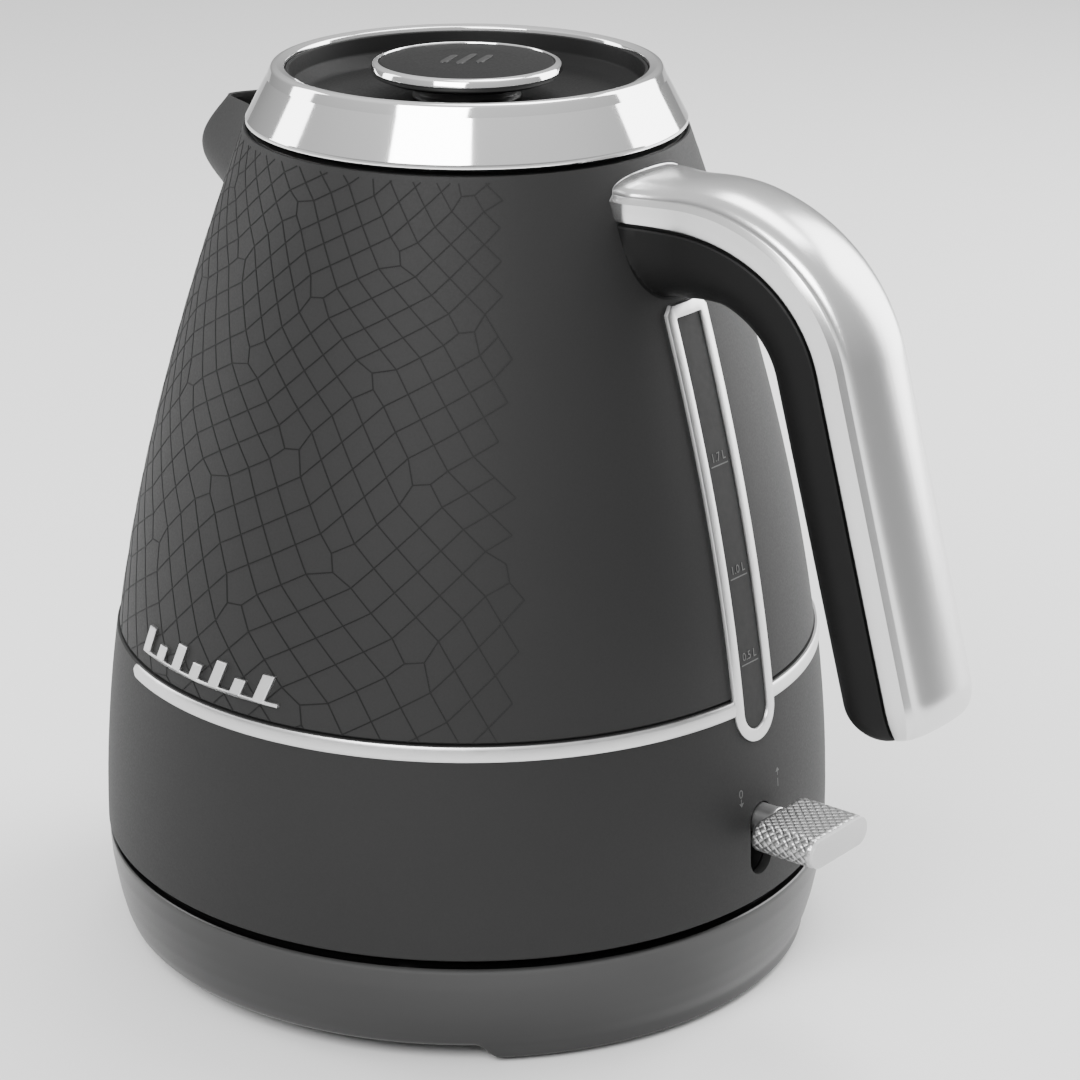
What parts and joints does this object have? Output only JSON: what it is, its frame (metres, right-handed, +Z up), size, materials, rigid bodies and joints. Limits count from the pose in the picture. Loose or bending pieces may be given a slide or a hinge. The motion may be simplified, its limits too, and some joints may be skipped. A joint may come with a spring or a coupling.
{
  "type": "electric kettle",
  "caption": "Cordless electric kettle on a round power base: tapered body with a water gauge, beak spout, hook handle, lever switch and a lift-off lid with a round knob.",
  "frame": {"origin": "on the kettle's axis, on the surface that the base stands on", "axes": "+Z up along the kettle's axis, +X towards the handle, -X towards the spout, +Y by the right-hand rule"},
  "size_m": [0.2564, 0.1988, 0.2407],
  "materials": {
    "skirt_metal": "satin metal",
    "black_plastic": "fine textured black",
    "dark_plastic": "satin dark grey",
    "rubber": "matt",
    "steel": "plain",
    "contact_brass": "bright",
    "charcoal_coating": "matt charcoal",
    "chrome": "bright chrome",
    "satin_chrome": "satin chrome",
    "smoked_window": "smoked",
    "silicone": "translucent grey",
    "aluminium": "cast"
  },
  "bodies": {
    "power_base": {"base_skirt": "skirt_metal", "base_top_plate": "black_plastic", "base_bottom_plate": "black_plastic", "centre_pad": "rubber", "foot_1": "rubber", "foot_2": "rubber", "foot_3": "rubber", "foot_4": "rubber", "base_screw_1": "steel", "base_screw_2": "steel", "base_screw_3": "steel", "base_connector_body": "black_plastic", "contact_ring": "contact_brass", "contact_pin": "contact_brass", "cord_gland": "rubber"},
    "connector": {"kettle_connector": "black_plastic"},
    "kettle": {"vessel": "charcoal_coating", "lower_shell": "charcoal_coating", "bottom_cover": "black_plastic", "cover_screw_1": "steel", "cover_screw_2": "steel", "cover_screw_3": "steel", "trim_band_left": "chrome", "trim_band_right": "chrome", "emblem": "chrome", "gauge_frame": "chrome", "gauge_window": "smoked_window", "gauge_seal": "silicone", "spout": "charcoal_coating", "spout_filter": "steel", "neck_collar": "black_plastic", "handle_shell": "satin_chrome", "handle_grip": "dark_plastic", "handle_core": "steel", "handle_screw_root": "steel", "handle_screw_end": "steel", "heater_plate": "steel", "vessel_seal": "silicone", "heat_spreader": "aluminium", "element_ring": "aluminium", "thermostat_control": "black_plastic", "steam_tube": "black_plastic", "switch_bracket": "black_plastic", "lever_pin": "steel"},
    "switch_lever": {"lever_arm": "black_plastic", "lever_paddle": "chrome", "lever_end_cap": "satin_chrome"},
    "lid": {"lid_ring": "chrome", "lid_dish": "dark_plastic", "lid_plug": "black_plastic", "lid_seal": "silicone", "lid_screw": "steel", "knob_stem": "black_plastic", "knob_ring": "chrome", "knob_cap": "dark_plastic"}
  },
  "joints": [
    {"name": "kettle_lift", "type": "slide", "parent": "power_base", "child": "connector", "axis": [0, 0, 1], "range_m": [0, 0.06]},
    {"name": "kettle_swivel", "type": "hinge", "parent": "connector", "child": "kettle", "pos_m": [0, 0, 0.035], "axis": [0, 0, 1], "continuous": true},
    {"name": "lid_lift", "type": "slide", "parent": "kettle", "child": "lid", "axis": [0, 0, 1], "range_m": [0, 0.06]},
    {"name": "switch_rock", "type": "hinge", "parent": "kettle", "child": "switch_lever", "pos_m": [0.06067, 0, 0.0546], "axis": [0, 1, 0], "range_deg": [0, 16]}
  ]
}
